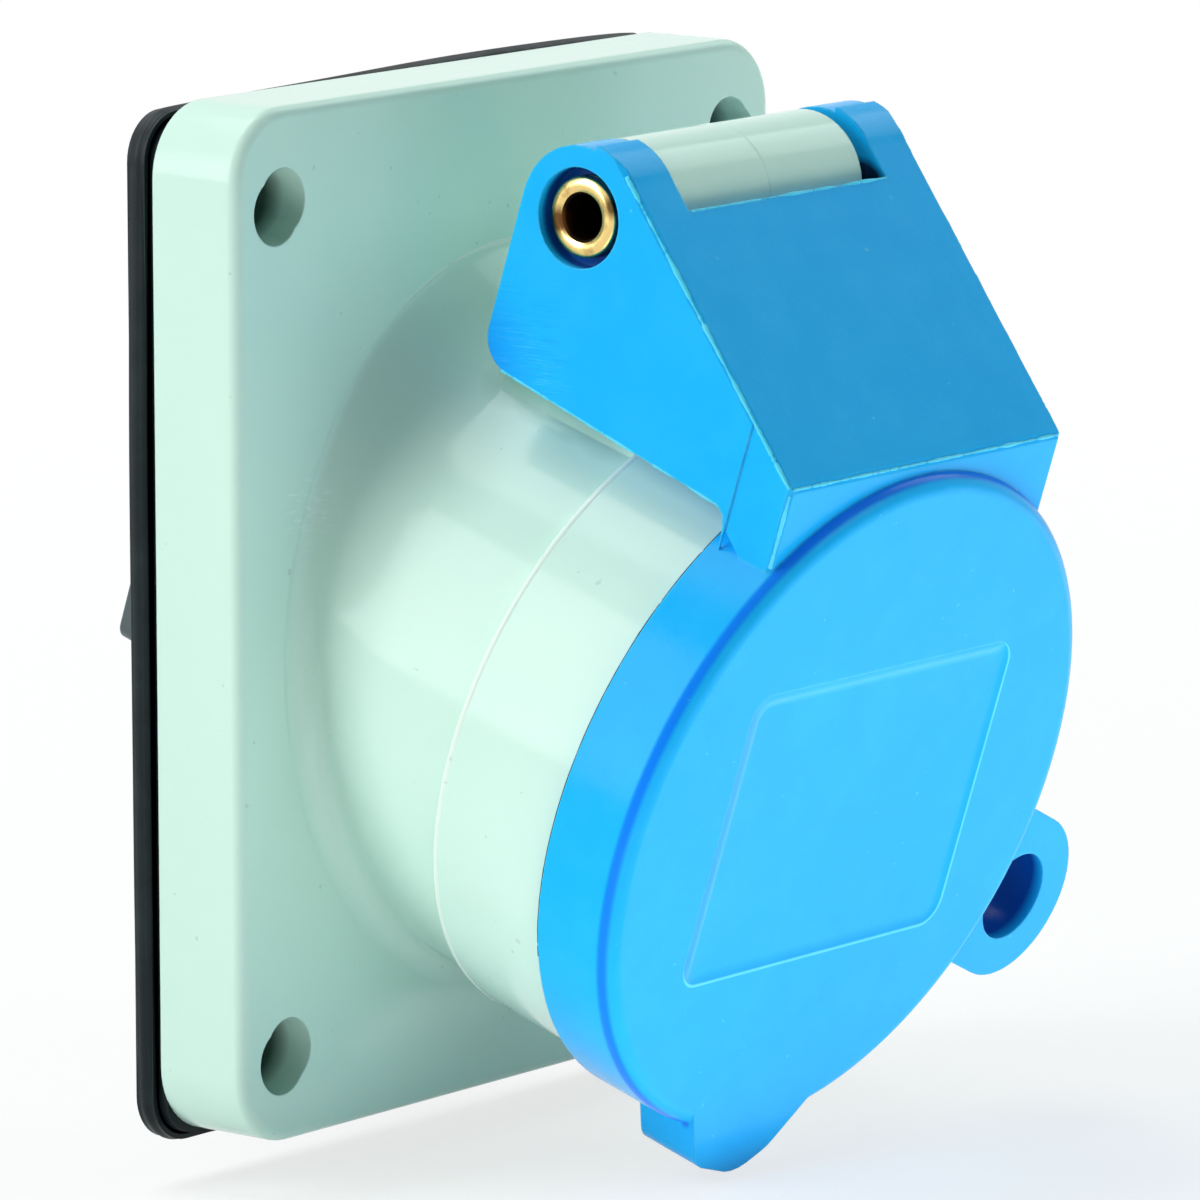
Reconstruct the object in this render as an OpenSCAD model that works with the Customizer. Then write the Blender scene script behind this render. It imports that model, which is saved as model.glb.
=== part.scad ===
// Angled panel-mounted industrial socket with a sprung, hinged lid.
// Origin: centre of the panel face that the gasket seals on. +Z is up, the lid faces -Y and downwards.
// Barrel frame: "s" runs out along the tilted barrel from the back of the flange, "t" runs up across it.

/* [Flange] */
// Width of the flange
flange_w = 70; // [68:1:84]
// Height of the flange
flange_h = 85; // [82:1:100]
// Depth of the flange from its back to its front face
flange_d = 8.8; // [7:0.2:12]
// Radius of the flange's corners
flange_corner_r = 6; // [4:0.5:9]
// Radius of the rounding round the front face
flange_edge_r = 1; // [0.5:0.1:1.6]
// Thickness of the flange's front wall
front_wall = 3; // [2.4:0.1:4]
// Thickness of the flange's rim
rim_wall = 2.8; // [2:0.1:4]
// Distance of the screw holes from the flange's left and right edges
hole_edge_x = 5.8; // [5.4:0.1:7]
// Distance of the screw holes from the flange's upper and lower edges
hole_edge_z = 7.6; // [6.5:0.1:9]
// Radius of the screw holes
hole_r = 2.75; // [2.2:0.05:3]
// How far the mouth of each screw hole is drawn out, outwards and downwards
mouth_shift = 0.82; // [0.2:0.02:1.2]
// Depth of the drawn-out mouth
mouth_d = 5; // [2:0.1:5.5]
// Wall of the boss round each screw hole
boss_wall = 2.5; // [1.6:0.1:3]

/* [Gasket] */
// Thickness of the gasket behind the flange
gasket_t = 2.7; // [2:0.1:4]
// Thickness of the gasket's narrower front step
gasket_step_t = 0.85; // [0.5:0.05:1.2]
// How far the gasket's front step is set in
gasket_inset = 0.7; // [0.3:0.1:1]
// How far the gasket hangs below the flange's centre
gasket_drop = 0.8; // [0:0.1:1.2]
// Radius of the gasket's corners
gasket_corner_r = 4; // [2:0.5:8]
// Width of the gasket's band
gasket_band = 6.5; // [5:0.5:7]

/* [Barrel] */
// Downward tilt of the barrel in degrees
tilt = 18; // [14:1:20]
// Height of the barrel's axis where it meets the back of the flange
axis_z = -0.7; // [-3:0.1:2]
// Radius of the cavity that the plug's shroud enters
cavity_r = 22.6; // [22:0.1:23.4]
// Wall of the lip round the cavity's mouth
lip_wall = 2.7; // [2:0.1:3]
// Radius of the neck between flange and collar
neck_r = 26.9; // [26.4:0.1:27.6]
// Radius of the collar behind the lid
collar_r = 28; // [27.6:0.1:29]
// Distance of the collar's rear edge along the barrel
collar_start = 26; // [23:0.5:30]
// Length of the collar
collar_len = 12.05; // [10:0.05:14]
// Height and width of the rounding between neck and flange
root_r = 2.4; // [1:0.1:3.5]
// Distance of the cavity floor's rear face along the barrel
floor_s = 9; // [8:0.5:11]
// Thickness of the cavity floor
floor_t = 4; // [3.6:0.1:5]
// Width of the keyway at the bottom of the cavity
key_w = 4.4; // [3:0.1:6]
// Depth of the keyway
key_d = 1.3; // [0.6:0.1:1.5]

/* [Lid] */
// How far the lid's rim stands out past the collar
lid_over = 1.25; // [0.5:0.05:2]
// Gap between the collar and the lid's rim
lid_gap = 0.45; // [0.35:0.05:0.8]
// Length of the lid's straight rim
skirt_len = 6.2; // [5:0.1:8]
// Rounding of the lid's front edge
lid_edge_r = 1.5; // [0.8:0.1:2]
// Thickness of the lid's face
lid_face_t = 2.6; // [2:0.1:3.4]
// Clearance between the lip and the lid's rim
skirt_gap = 1.3; // [1.2:0.05:1.6]
// Thickness of the lid's seal
seal_t = 2; // [1.4:0.1:2.4]
// Gap between the closed seal and the lip
seal_gap = 0.3; // [0.3:0.05:0.6]
// Width of the label recess
label_w = 34.6; // [24:0.5:38]
// Height of the label recess
label_h = 26; // [16:0.5:30]
// How far the label recess lies below the lid's centre
label_drop = 0.45; // [0:0.05:3]
// Corner radius of the label recess
label_r = 2.2; // [1:0.1:4]
// Depth of the label recess
label_d = 0.35; // [0.2:0.05:0.8]
// Width of the thumb tab at its root
tab_w = 17.4; // [14:0.2:20]
// How far the thumb tab stands off to the left
tab_shift = 1.5; // [0:0.1:3]
// Reach of the thumb tab past the lid's rim
tab_reach = 3.65; // [2:0.05:8]
// Thickness of the thumb tab
tab_t = 5.9; // [3:0.1:7]
// Radius of the sealing ear
ear_r = 7.35; // [6:0.05:9]
// Radius of the hole in the sealing ear
ear_hole_r = 3.95; // [2:0.05:4.5]
// Direction of the sealing ear, in degrees below the right side
ear_angle = 25; // [10:1:50]

/* [Hinge] */
// Distance of the hinge pin along the barrel
pin_s = 18.2; // [16:0.1:20]
// Height of the hinge pin above the collar
pin_rise = 14.6; // [13:0.1:17]
// Outer radius of the hinge pin
pin_r = 3.3; // [2.6:0.05:3.3]
// Radius of the hollow through the hinge pin
pin_bore_r = 1.85; // [1:0.05:2.2]
// How far the pin's ends lie below the cheeks
pin_recess = 0.5; // [0.2:0.1:1.2]
// Running clearance of the pin
pin_play = 0.06; // [0.03:0.01:0.1]
// Outer radius of the knuckle on the housing
knuckle_r = 5.8; // [5.6:0.05:6.2]
// Radius of the counterbore round the pin's ends
counterbore_r = 4.1; // [3.7:0.05:4.4]
// Depth of the counterbore
counterbore_d = 1.8; // [1:0.1:2.5]
// Width of the hinge block
block_w = 36.3; // [34:0.1:40]
// Thickness of each cheek
cheek_wall = 5.05; // [4.6:0.05:5.6]
// How far the cheeks stand out past the front of the block
cheek_step = 0.15; // [0.1:0.05:0.5]
// Slope of the block's top against the barrel in degrees
block_slope = 37.2; // [34:0.2:40]
// Height of the sloping top above the pin's axis
block_rise = 6.2; // [6.1:0.05:6.8]
// Wall of the hinge block's roof and front
block_wall = 2.5; // [2:0.1:3]
// Chamfer on the outer edges of the hinge block
edge_cut = 0.4; // [0.25:0.05:0.6]
// Gap between the knuckle and the left cheek
knuckle_gap = 0.5; // [0.35:0.05:0.9]
// Gap between the knuckle and the right cheek, where the spring's leg runs
leg_gap = 1.5; // [1.4:0.05:2]
// Wire diameter of the lid's spring
spring_wire = 0.9; // [0.6:0.05:0.9]
// Number of turns of the lid's spring
spring_turns = 5; // [3:1:6]

/* [Contacts] */
// Room for the plug's shroud between the carrier's nose and the cavity's wall
shroud_room = 4.8; // [4.6:0.1:5.4]
// Distance of the nose's front face along the barrel
nose_s = 36; // [32:0.5:37]
// Thickness of the plate behind the carrier
disc_t = 3.5; // [3:0.1:4.5]
// Radius of the circle that the contacts stand on
contact_pitch_r = 8.2; // [8:0.1:8.4]
// Radius of the line and neutral pins' bore
live_bore_r = 2.55; // [2.5:0.05:2.7]
// Radius of the earth pin's bore
earth_bore_r = 3.55; // [3.5:0.05:3.6]
// Wall of the contact sleeves
sleeve_wall = 0.95; // [0.8:0.05:1.05]
// Depth of the contact sleeves' bore
bore_depth = 20; // [16:0.5:22]
// Radius of the contacts' rear shank
shank_r = 3.3; // [3:0.05:3.4]
// Length of the terminal block behind the plate
terminal_len = 26.7; // [24:0.1:30]
// Width of the terminal block
terminal_w = 24.8; // [24.4:0.1:30]
// Lower edge of the terminal block below the axis
terminal_low = 13.4; // [13.4:0.1:15]
// Upper edge of the terminal block above the axis
terminal_high = 10; // [9:0.1:12]
// Radius of the wire holes
wire_r = 1.7; // [1.2:0.05:1.9]
// Radius of the thread of the small screws
screw_r = 1.5; // [1.2:0.05:1.6]

/* [Hidden] */
$fn = 96;
grey = [0.80, 0.84, 0.81];
blue = [0.10, 0.50, 0.90];
black = [0.10, 0.11, 0.12];
dark = [0.24, 0.29, 0.31];
brass = [0.86, 0.70, 0.36];
steel = [0.72, 0.73, 0.74];
eps = 0.01;
far = 200;
fit = 0.15;
thread_play = 0.05;

flange_back = -gasket_t;
flange_front = flange_back - flange_d;
edge_y = flange_front + flange_edge_r;
hole_pitch_x = flange_w - 2 * hole_edge_x;
hole_pitch_z = flange_h - 2 * hole_edge_z;
boss_r = hole_r + boss_wall;
root_steps = 5;

lip_r = cavity_r + lip_wall;
collar_end = collar_start + collar_len;
floor_front = floor_s + floor_t;
lid_r = collar_r + lid_over;
skirt_s = collar_end + lid_gap;
shoulder_s = skirt_s + skirt_len;
face_s = shoulder_s + lid_edge_r;
lid_inner_s = face_s - lid_face_t;
seal_s = lid_inner_s - seal_t;
lip_s = seal_s - seal_gap;
skirt_r = lip_r + skirt_gap;
seal_r = skirt_r - 0.4;
seal_bore_r = cavity_r - 1.6;
rib_r = seal_bore_r - fit;
rib_wall = 1.1;
rib_h = seal_t - 0.5;
tab_root = 2.9;
ear_x = lid_r + ear_hole_r + 0.5;
ear_root = lid_r - ear_r - 0.65;

pin_t = collar_r + pin_rise;
cheek_r = knuckle_r + 0.05;
cheek_back = pin_s - cheek_r;
cheek_front = skirt_s + 1.05;
cheek_corner_r = 3;
cheek_low_back = collar_r - 0.3;
cheek_low_front = collar_r - 1.8;
cheek_x = block_w / 2 + cheek_step;
inner_x = block_w / 2 - cheek_wall;
knuckle_x1 = -inner_x + knuckle_gap;
knuckle_x2 = inner_x - leg_gap;
notch_s = pin_s + knuckle_r + 0.8;
pin_x = cheek_x - pin_recess;
slope_foot = block_rise * [sin(block_slope), cos(block_slope)];
brow_r = block_rise + 0.06;
spring_r = pin_r + 0.35 + spring_wire / 2;
spring_bore_r = spring_r + spring_wire / 2 + 0.3;
spring_pitch = spring_wire + 0.2;
spring_x2 = inner_x - leg_gap / 2;
spring_x1 = spring_x2 - spring_turns * spring_pitch;
spring_leg = 6.5;
hook_drop = 4;
hook_len = leg_gap / 2 + 2;
hook_hole_r = spring_wire / 2 + 0.35;
pin_seat = 0.02;
post_pocket_wall = 2.6;

nose_r = cavity_r - shroud_room;
disc_r = cavity_r + 1.6;
rear_bore_r = disc_r + 0.2;
disc_back = floor_s - disc_t;
nose_wall = 1.8;
pocket_s = nose_s - nose_wall;
sleeve_end = nose_s - 0.8;
sleeve_room = 0.6;
collar_w = 1;
collar_t = 2.5;
terminal_back = disc_back - terminal_len;
terminal_wall = 3;
shank_end = terminal_back + terminal_wall;
wire_depth = 9.5;
wire_entry_r = wire_r + 0.25;
terminal_screw_s = shank_end + wire_depth * 0.55;
terminal_screw_r = 1.4;
terminal_head_r = 1.8;
terminal_reach = 5;
terminal_corner_r = 1.5;
clip_t = 0.4;
clip_len = 3.2;
clip_s = pocket_s - 2 - clip_len;
slit_w = 0.8;
slit_len = bore_depth - 4;
line_angle = 150;
neutral_angle = 30;
earth_angle = 270;
carrier_screw_pitch_r = (nose_r + disc_r) / 2;
carrier_screw_angles = [90, 210, 330];
carrier_screw_in = floor_t - 1;
head_r = screw_r + 1.2;
head_h = 1.8;
block_screw_x = 8.8;
block_screw_t = -9.6;
block_screw_seat = terminal_back + 7;
block_screw_end = disc_back + 6.5;

// Height of the hinge block's sloping top at a distance along the barrel
function slope_t(s) = pin_t + block_rise / cos(block_slope) - (s - pin_s) * tan(block_slope);

// Place of a contact on the contact circle
function contact_at(angle) = contact_pitch_r * [cos(angle), sin(angle), 0];

module on_axis() {
    translate([0, flange_back, axis_z]) rotate([90 + tilt, 0, 0]) children();
}

// A round bar along the barrel from s1 to s2
module rod(s1, s2, r) {
    translate([0, 0, s1]) cylinder(r = r, h = s2 - s1);
}

// A round bar across the barrel from x1 to x2
module cross_rod(s, t, x1, x2, r) {
    translate([x1, t, s]) rotate([0, 90, 0]) cylinder(r = r, h = x2 - x1);
}

// An outline drawn in s and t, given a width from x1 to x2
module sideways(x1, x2) {
    translate([x2, 0, 0]) rotate([0, -90, 0]) linear_extrude(x2 - x1) children();
}

// An outline drawn in x and z, given a depth from y towards the front
module plate(y, depth) {
    translate([0, y, 0]) rotate([90, 0, 0]) linear_extrude(depth) children();
}

module rounded_rect(w, h, r) {
    square([w - 2 * r, h], center = true);
    square([w, h - 2 * r], center = true);
    for (i = [-1, 1], k = [-1, 1]) translate([i * (w / 2 - r), k * (h / 2 - r)]) circle(r = r);
}

module at_holes() {
    for (i = [-1, 1], k = [-1, 1]) translate([i * hole_pitch_x / 2, k * hole_pitch_z / 2]) children();
}

module at_mouths() {
    for (i = [-1, 1], k = [-1, 1])
        translate([i * (hole_pitch_x / 2 + mouth_shift), k * hole_pitch_z / 2 - mouth_shift]) children();
}

// Flange: a tray with a rounded front edge

// Quarter disc that rounds the flange's edge, on the side given by the sign
module edge_quarter(side) {
    intersection() {
        circle(r = flange_edge_r);
        translate([(side - 1) * flange_edge_r / 2, -flange_edge_r]) square(flange_edge_r);
    }
}

module flange_solid() {
    inner_r = flange_corner_r - flange_edge_r;
    plate(flange_back, flange_d - flange_edge_r) rounded_rect(flange_w, flange_h, flange_corner_r);
    plate(flange_back, flange_d)
        rounded_rect(flange_w - 2 * flange_edge_r, flange_h - 2 * flange_edge_r, inner_r);
    for (i = [-1, 1]) {
        translate([i * (flange_w / 2 - flange_edge_r), edge_y, flange_corner_r - flange_h / 2])
            linear_extrude(flange_h - 2 * flange_corner_r) edge_quarter(i);
        translate([flange_corner_r - flange_w / 2, edge_y, i * (flange_h / 2 - flange_edge_r)])
            rotate([0, 90, 0]) linear_extrude(flange_w - 2 * flange_corner_r) edge_quarter(-i);
    }
    for (i = [-1, 1], k = [-1, 1])
        translate([i * (flange_w / 2 - flange_corner_r), edge_y, k * (flange_h / 2 - flange_corner_r)])
            rotate([90, 0, 0]) rotate_extrude() translate([inner_r, 0]) circle(r = flange_edge_r);
}

module flange_tray() {
    difference() {
        flange_solid();
        plate(flange_back + eps, flange_d - front_wall + eps)
            rounded_rect(flange_w - 2 * rim_wall, flange_h - 2 * rim_wall, flange_corner_r - rim_wall);
    }
    plate(flange_back, flange_d - front_wall / 2) intersection() {
        at_holes() circle(r = boss_r);
        square([flange_w - rim_wall, flange_h - rim_wall], center = true);
    }
}

// Keeps what lies in front of the plane at y
module in_front_of(y, depth) {
    intersection() {
        children();
        translate([-far / 2, y - depth, -far / 2]) cube([far, depth, far]);
    }
}

// Neck with its rounded root, cut in steps along the flange's face
module neck() {
    in_front_of(flange_back, far) on_axis() rod(-far / 4, collar_start + eps, neck_r);
    for (i = [1 : root_steps]) {
        rise = root_r * (i - 0.5) / root_steps;
        out = root_r - sqrt(root_r * root_r - pow(root_r - rise, 2));
        in_front_of(flange_front + front_wall / 2, front_wall / 2 + rise)
            on_axis() rod(-far / 4, collar_start, neck_r + out);
    }
}

// Hinge knuckle on its post
module knuckle() {
    foot = 1.6;
    cross_rod(pin_s, pin_t, knuckle_x1, knuckle_x2, knuckle_r);
    sideways(knuckle_x1, knuckle_x2) polygon([
        [pin_s - knuckle_r, pin_t],
        [pin_s - knuckle_r - foot, neck_r * 0.8],
        [pin_s + knuckle_r + foot, neck_r * 0.8],
        [pin_s + knuckle_r, pin_t],
    ]);
}

module knuckle_cuts() {
    leg_room = spring_wire + 0.6;
    cross_rod(pin_s, pin_t, -far, far, pin_r + pin_play);
    cross_rod(pin_s, pin_t, spring_x1 - spring_wire, far, spring_bore_r);
    translate([spring_x1 - leg_room / 2, pin_t - spring_leg - 0.6, pin_s - spring_r - leg_room / 2])
        cube([leg_room, spring_leg + 0.6, leg_room]);
    sideways(knuckle_x1 + post_pocket_wall, knuckle_x2 - post_pocket_wall) polygon([
        [0, neck_r + 1],
        [pin_s + 1, neck_r + 1],
        [pin_s + 1, pin_t - knuckle_r - 1.5],
        [0, pin_t - knuckle_r - 1.5],
    ]);
}

module carrier_screw_places() {
    for (a = carrier_screw_angles) rotate([0, 0, a]) translate([carrier_screw_pitch_r, 0, 0]) children();
}

module housing() {
    color(grey) difference() {
        union() {
            flange_tray();
            neck();
            on_axis() {
                rod(collar_start, collar_end, collar_r);
                rod(collar_start, lip_s, lip_r);
                knuckle();
            }
        }
        on_axis() {
            rod(floor_front, far, cavity_r);
            rod(-far, far, nose_r + 0.2);
            rod(-far, floor_s, rear_bore_r);
            translate([-key_w / 2, -cavity_r - key_d, floor_front]) cube([key_w, cavity_r, far]);
            knuckle_cuts();
            carrier_screw_places()
                rod(floor_s - eps, floor_s + carrier_screw_in + 0.2, screw_r + thread_play);
        }
        plate(eps, far) at_holes() circle(r = hole_r);
        plate(flange_front + mouth_d, far) at_mouths() circle(r = hole_r);
    }
}

// Gasket: a stepped rubber frame with a boss round each screw hole

module gasket_frame(depth, inset) {
    plate(0, depth) difference() {
        translate([0, -gasket_drop])
            rounded_rect(flange_w - 2 * inset, flange_h - 2 * inset, gasket_corner_r - inset);
        difference() {
            translate([0, -gasket_drop])
                rounded_rect(flange_w - 2 * gasket_band, flange_h - 2 * gasket_band, 2);
            at_holes() circle(r = boss_r);
        }
        at_holes() circle(r = hole_r);
    }
}

module flange_gasket() {
    color(black) {
        gasket_frame(gasket_t - gasket_step_t, 0);
        gasket_frame(gasket_t, gasket_inset);
    }
}

// Lid: a shallow cap with tab, ear and hollow hinge block

module lid_cap() {
    height = face_s - skirt_s;
    translate([0, 0, skirt_s]) rotate_extrude() {
        square([lid_r - lid_edge_r, height]);
        square([lid_r, height - lid_edge_r]);
        translate([lid_r - lid_edge_r, height - lid_edge_r]) circle(r = lid_edge_r);
    }
}

module thumb_tab() {
    tip_t = -lid_r - tab_reach;
    left_r = 0.138 * tab_w;
    middle_r = 0.287 * tab_w;
    right_r = 0.23 * tab_w;
    translate([-tab_shift, 0, face_s - tab_t]) linear_extrude(tab_t) hull() {
        translate([-0.27 * tab_w, tip_t + left_r + 1]) circle(r = left_r, $fn = 32);
        translate([-0.063 * tab_w, tip_t + middle_r]) circle(r = middle_r, $fn = 32);
        translate([0.052 * tab_w, tip_t + right_r + 0.8]) circle(r = right_r, $fn = 32);
        translate([-tab_w / 2, tab_root - lid_r]) square([tab_w, 1]);
    }
}

module ear_outline() {
    rotate(-ear_angle) {
        translate([ear_x, 0]) circle(r = ear_r);
        translate([ear_root, -ear_r]) square([ear_x - ear_root, 2 * ear_r]);
    }
}

module cheek_outline(s_end) {
    translate([pin_s, pin_t]) circle(r = cheek_r);
    translate([pin_s, pin_t]) intersection() {
        circle(r = brow_r);
        square(2 * brow_r);
    }
    translate([cheek_back + cheek_corner_r, cheek_low_back + cheek_corner_r]) circle(r = cheek_corner_r);
    polygon([
        [cheek_back, pin_t],
        [cheek_back, cheek_low_back + cheek_corner_r],
        [cheek_back + cheek_corner_r, cheek_low_back],
        [skirt_s - 0.1, cheek_low_front],
        [skirt_s + 0.5, cheek_low_front - 0.5],
        [skirt_s + 0.8, cheek_low_front - 1.4],
        [s_end, cheek_low_front - 6],
        [s_end, slope_t(s_end)],
        [pin_s, pin_t] + slope_foot,
        [pin_s, pin_t],
    ]);
}

module roof_outline() {
    drop = block_wall / cos(block_slope);
    polygon([
        [notch_s, slope_t(notch_s)],
        [shoulder_s, slope_t(shoulder_s)],
        [shoulder_s, skirt_r - 8],
        [shoulder_s - block_wall, skirt_r - 8],
        [shoulder_s - block_wall, slope_t(shoulder_s - block_wall) - drop],
        [notch_s, slope_t(notch_s) - drop],
    ]);
}

// A square bar turned on its edge, which cuts a chamfer along its length
module edge_bar(len) {
    linear_extrude(len) rotate(45) square(edge_cut * sqrt(2), center = true);
}

// Chamfers: down both sides of the slope, across its foot, and up both front corners
module block_edges() {
    foot_t = slope_t(shoulder_s);
    half_turn = (90 - block_slope) / 2;
    bar_s = pin_s + 0.8;
    for (i = [0, 1]) mirror([i, 0, 0]) {
        translate([cheek_x, slope_t(bar_s), bar_s]) rotate([block_slope, 0, 0]) edge_bar(far);
        translate([block_w / 2, skirt_r - 8, shoulder_s]) rotate([-90, 0, 0]) edge_bar(far);
    }
    translate([0, foot_t, shoulder_s]) rotate([-half_turn, 0, 0])
        cube([far, 2, 2 * edge_cut * sin(half_turn)], center = true);
}

module hinge_block() {
    side_x = block_w / 2;
    difference() {
        union() {
            for (i = [0, 1]) mirror([i, 0, 0]) {
                sideways(inner_x, side_x) cheek_outline(shoulder_s);
                sideways(side_x - eps, cheek_x) cheek_outline(cheek_front);
            }
            sideways(-side_x, side_x) roof_outline();
        }
        block_edges();
    }
}

module lid() {
    color(blue) on_axis() {
        difference() {
            union() {
                lid_cap();
                thumb_tab();
                translate([0, 0, skirt_s]) linear_extrude(skirt_len) ear_outline();
                hinge_block();
            }
            rod(0, lid_inner_s, skirt_r);
            cross_rod(pin_s, pin_t, -far, far, pin_r + pin_seat);
            cross_rod(pin_s, pin_t, cheek_x - counterbore_d, far, counterbore_r);
            cross_rod(pin_s, pin_t, -far, counterbore_d - cheek_x, counterbore_r);
            cross_rod(pin_s - spring_r, pin_t - hook_drop, inner_x - eps, inner_x + hook_len, hook_hole_r);
            translate([0, -label_drop, face_s - label_d])
                linear_extrude(far) rounded_rect(label_w, label_h, label_r);
            rotate([0, 0, -ear_angle]) translate([ear_x, 0, 0]) rod(0, far, ear_hole_r);
        }
        difference() {
            rod(lid_inner_s - rib_h, lid_inner_s + eps, rib_r);
            rod(0, far, rib_r - rib_wall);
        }
    }
}

module lid_seal() {
    color(black) on_axis() difference() {
        rod(seal_s, lid_inner_s, seal_r);
        rod(0, far, seal_bore_r);
    }
}

module hinge_pin() {
    color(brass) on_axis() difference() {
        cross_rod(pin_s, pin_t, -pin_x, pin_x, pin_r);
        cross_rod(pin_s, pin_t, -far, far, pin_bore_r);
    }
}

// Spring: a helix round the pin, with a leg in the knuckle's post and a hook in the right cheek

spring_sides = 8;
spring_steps = 18;
spring_path = concat(
    [[spring_x1, pin_t - spring_leg, pin_s - spring_r]],
    [for (i = [0 : spring_turns * spring_steps])
        let (a = 180 - 360 * i / spring_steps)
        [spring_x1 + spring_pitch * i / spring_steps, pin_t + spring_r * sin(a), pin_s + spring_r * cos(a)]],
    [for (x = [spring_x2, spring_x2 + hook_len]) [x, pin_t - hook_drop, pin_s - spring_r]]
);

function unit(v) = v / norm(v);
function tangent(p, i) = unit(p[min(i + 1, len(p) - 1)] - p[max(i - 1, 0)]);
function side_of(d) = unit(cross(d, abs(d.x) < 0.9 ? [1, 0, 0] : [0, 0, 1]));

// A round wire along a path
module wire(path, r, sides) {
    rings = [for (i = [0 : len(path) - 1])
        let (d = tangent(path, i), u = side_of(d), v = cross(d, u))
        for (k = [0 : sides - 1]) path[i] + r * (u * cos(360 * k / sides) + v * sin(360 * k / sides))];
    last = (len(path) - 1) * sides;
    ends = [[for (k = [0 : sides - 1]) sides - 1 - k], [for (k = [0 : sides - 1]) last + k]];
    walls = [for (i = [0 : len(path) - 2], k = [0 : sides - 1])
        let (n = (k + 1) % sides)
        [i * sides + k, i * sides + n, (i + 1) * sides + n, (i + 1) * sides + k]];
    polyhedron(rings, concat(ends, walls));
}

module lid_spring() {
    color(steel) on_axis() wire(spring_path, spring_wire / 2, spring_sides);
}

// Contact carrier: a nose with a pocket for each contact, screwed to a plate that holds the contacts' collars

module contact_pocket(angle, bore_r) {
    sleeve_r = bore_r + sleeve_wall;
    translate(contact_at(angle)) {
        rod(0, pocket_s, sleeve_r + sleeve_room);
        rod(0, far, sleeve_r + fit);
    }
}

module collar_seat(angle, bore_r) {
    sleeve_r = bore_r + sleeve_wall;
    translate(contact_at(angle)) {
        rod(0, far, sleeve_r + fit);
        rod(0, disc_back + collar_t, sleeve_r + collar_w + fit);
    }
}

module block_screw_places() {
    for (i = [-1, 1]) translate([i * block_screw_x, block_screw_t, 0]) children();
}

module contact_carrier() {
    color(dark) on_axis() difference() {
        rod(floor_s, nose_s, nose_r);
        contact_pocket(line_angle, live_bore_r);
        contact_pocket(neutral_angle, live_bore_r);
        contact_pocket(earth_angle, earth_bore_r);
        block_screw_places() rod(0, block_screw_end + 0.2, screw_r + thread_play);
    }
}

module contact_plate() {
    color(dark) on_axis() difference() {
        rod(disc_back, floor_s, disc_r);
        collar_seat(line_angle, live_bore_r);
        collar_seat(neutral_angle, live_bore_r);
        collar_seat(earth_angle, earth_bore_r);
        carrier_screw_places() rod(0, far, screw_r + 0.1);
        block_screw_places() rod(0, far, screw_r + 0.1);
    }
}

module terminal_cut(angle, direction) {
    translate(contact_at(angle)) {
        rod(shank_end - fit, far, shank_r + fit);
        rod(-far, far, wire_entry_r);
        translate([0, 0, terminal_screw_s]) rotate([0, 90, direction])
            cylinder(r = terminal_head_r + fit, h = far);
    }
}

module terminal_block() {
    height = terminal_low + terminal_high;
    color(dark) on_axis() difference() {
        translate([0, (terminal_high - terminal_low) / 2, terminal_back])
            linear_extrude(terminal_len) rounded_rect(terminal_w, height, terminal_corner_r);
        terminal_cut(line_angle, 180);
        terminal_cut(neutral_angle, 0);
        terminal_cut(earth_angle, 270);
        block_screw_places() {
            rod(-far, far, screw_r + 0.1);
            rod(-far, block_screw_seat, head_r + fit);
        }
    }
}

module contact(angle, bore_r, direction) {
    sleeve_r = bore_r + sleeve_wall;
    color(brass) on_axis() translate(contact_at(angle)) difference() {
        union() {
            rod(disc_back, sleeve_end, sleeve_r);
            rod(disc_back, disc_back + collar_t, sleeve_r + collar_w);
            rod(shank_end, disc_back + eps, shank_r);
        }
        rod(sleeve_end - bore_depth, far, bore_r);
        translate([-slit_w / 2, -far / 2, sleeve_end - slit_len]) cube([slit_w, far, far]);
        rod(-far, shank_end + wire_depth, wire_r);
        translate([0, 0, terminal_screw_s]) rotate([0, 90, direction])
            cylinder(r = terminal_screw_r + thread_play, h = far);
    }
}

module line_contact() { contact(line_angle, live_bore_r, 180); }
module neutral_contact() { contact(neutral_angle, live_bore_r, 0); }
module earth_contact() { contact(earth_angle, earth_bore_r, 270); }

// Spring ring that closes a slit sleeve on the plug's pin
module clip(angle, bore_r) {
    ring_r = bore_r + sleeve_wall + thread_play;
    color(steel) on_axis() translate(contact_at(angle)) difference() {
        rod(clip_s, clip_s + clip_len, ring_r + clip_t);
        rod(0, far, ring_r);
        translate([0, -slit_w, 0]) cube([far, 2 * slit_w, far]);
    }
}

module line_clip() { clip(line_angle, live_bore_r); }
module neutral_clip() { clip(neutral_angle, live_bore_r); }
module earth_clip() { clip(earth_angle, earth_bore_r); }

module terminal_screw(angle, direction) {
    slot_w = 0.8;
    slot_d = 0.7;
    color(steel) on_axis() translate(contact_at(angle) + [0, 0, terminal_screw_s]) rotate([0, 90, direction])
        difference() {
            union() {
                rod(wire_r + 0.1, terminal_reach, terminal_screw_r);
                rod(shank_r + 0.25, terminal_reach, terminal_head_r);
            }
            translate([-slot_w / 2, -far / 2, terminal_reach - slot_d]) cube([slot_w, far, far]);
        }
}

module line_terminal_screw() { terminal_screw(line_angle, 180); }
module neutral_terminal_screw() { terminal_screw(neutral_angle, 0); }
module earth_terminal_screw() { terminal_screw(earth_angle, 270); }

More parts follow.
